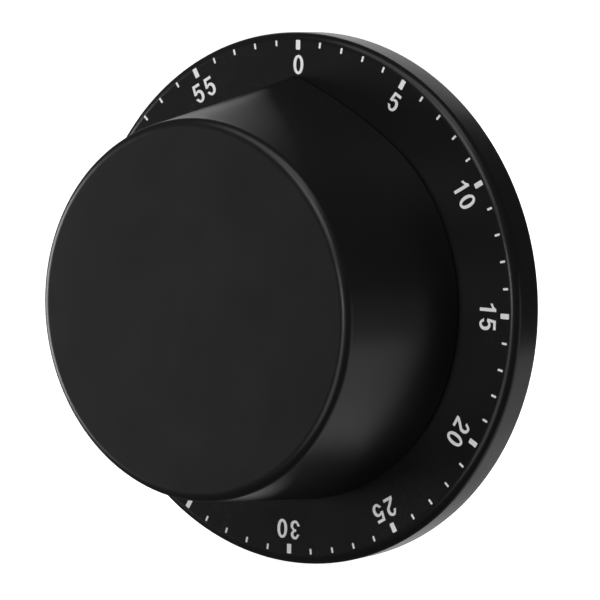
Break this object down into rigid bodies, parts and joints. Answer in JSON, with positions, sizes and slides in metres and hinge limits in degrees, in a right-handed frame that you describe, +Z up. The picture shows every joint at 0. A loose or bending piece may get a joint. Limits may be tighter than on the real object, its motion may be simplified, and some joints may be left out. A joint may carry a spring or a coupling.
{
  "type": "kitchen timer",
  "caption": "Round mechanical kitchen timer with a deep turning knob, a pointed index ridge, a numbered dial and a magnet back.",
  "frame": {"origin": "centre of the magnet's flat back face, on the knob's axis", "axes": "+Z up to the zero mark, +Y backwards out of the magnet's face, -Y out of the knob's face, +X to the right seen from the front"},
  "size_m": [0.08, 0.032, 0.08],
  "materials": {
    "black_plastic": "black moulded plastic with a fine satin texture",
    "white_print": "thin white pad print",
    "steel": "turned and stamped steel",
    "spring_steel": "tempered spring steel",
    "zinc_steel": "bright zinc plate",
    "bell_steel": "nickel plated bell",
    "magnet_nickel": "nickel plated magnet",
    "brass": "stamped brass",
    "grip_rubber": "soft black rubber"
  },
  "bodies": {
    "timer_body": {"base_housing": "black_plastic", "rear_cover": "black_plastic", "magnet": "magnet_nickel", "magnet_keeper": "steel", "rubber_ring": "grip_rubber", "cover_screw_1": "zinc_steel", "cover_screw_2": "zinc_steel", "cover_screw_3": "zinc_steel", "movement_screw_1": "zinc_steel", "movement_screw_2": "zinc_steel", "movement_screw_3": "zinc_steel", "front_plate": "brass", "back_plate": "brass", "pillar_1": "steel", "pillar_2": "steel", "pillar_3": "steel", "pillar_nut_1": "steel", "pillar_nut_2": "steel", "pillar_nut_3": "steel", "bell": "bell_steel", "bell_post": "brass", "bell_screw": "zinc_steel", "detent_stud": "steel", "detent_spring": "spring_steel"},
    "knob": {"knob": "black_plastic", "knob_clip": "spring_steel", "main_arbor": "steel", "main_wheel": "brass", "clutch_washer": "spring_steel", "release_cam": "brass"},
    "barrel": {"mainspring_barrel": "brass", "barrel_cover": "brass", "mainspring": "spring_steel"},
    "second": {"second_pinion": "steel", "second_wheel": "brass"},
    "third": {"third_pinion": "steel", "third_wheel": "brass"},
    "escape": {"escape_pinion": "steel", "escape_wheel": "brass"},
    "pallet": {"pallet_anchor": "steel", "pallet_arbor": "steel"},
    "strike": {"strike_pinion": "steel", "star_wheel": "brass"},
    "hammer": {"hammer_arbor": "steel", "hammer_verge": "steel", "hammer": "steel"},
    "detent": {"detent_lever": "steel"}
  },
  "joints": [
    {"name": "knob_turn", "type": "hinge", "parent": "timer_body", "child": "knob", "pos_m": [0, -0.0187, 0], "axis": [0, 1, 0], "range_deg": [0, 354]},
    {"name": "second_turn", "type": "hinge", "parent": "timer_body", "child": "second", "pos_m": [-0.01184, -0.0187, -0.00431], "axis": [0, 1, 0], "range_deg": [-2832, 0]},
    {"name": "third_turn", "type": "hinge", "parent": "timer_body", "child": "third", "pos_m": [-0.00761, -0.0187, -0.01293], "axis": [0, 1, 0], "range_deg": [0, 19824]},
    {"name": "escape_turn", "type": "hinge", "parent": "timer_body", "child": "escape", "pos_m": [-0.00129, -0.0187, -0.01595], "axis": [0, 1, 0], "range_deg": [-118944, 0]},
    {"name": "pallet_rock", "type": "hinge", "parent": "timer_body", "child": "pallet", "pos_m": [0.005, -0.0187, -0.01572], "axis": [0, 1, 0], "range_deg": [-3.5, 3.5]},
    {"name": "barrel_turn", "type": "hinge", "parent": "timer_body", "child": "barrel", "pos_m": [0, -0.0155, 0], "axis": [0, 1, 0], "range_deg": [0, 360]},
    {"name": "strike_turn", "type": "hinge", "parent": "timer_body", "child": "strike", "pos_m": [0.0063, -0.0187, 0.01091], "axis": [0, 1, 0], "range_deg": [-2160, 0]},
    {"name": "hammer_swing", "type": "hinge", "parent": "timer_body", "child": "hammer", "pos_m": [0.01255, -0.0187, 0.00822], "axis": [0, 1, 0], "range_deg": [-5, 2.8]},
    {"name": "detent_drop", "type": "hinge", "parent": "timer_body", "child": "detent", "pos_m": [-0.00946, -0.0187, 0.01352], "axis": [0, 1, 0], "range_deg": [0, 4.5]}
  ],
  "couplings": [
    {"joint": "second_turn", "follows": "knob_turn", "ratio": -8},
    {"joint": "third_turn", "follows": "knob_turn", "ratio": 56},
    {"joint": "escape_turn", "follows": "knob_turn", "ratio": -336},
    {"joint": "strike_turn", "follows": "barrel_turn", "ratio": -6}
  ]
}
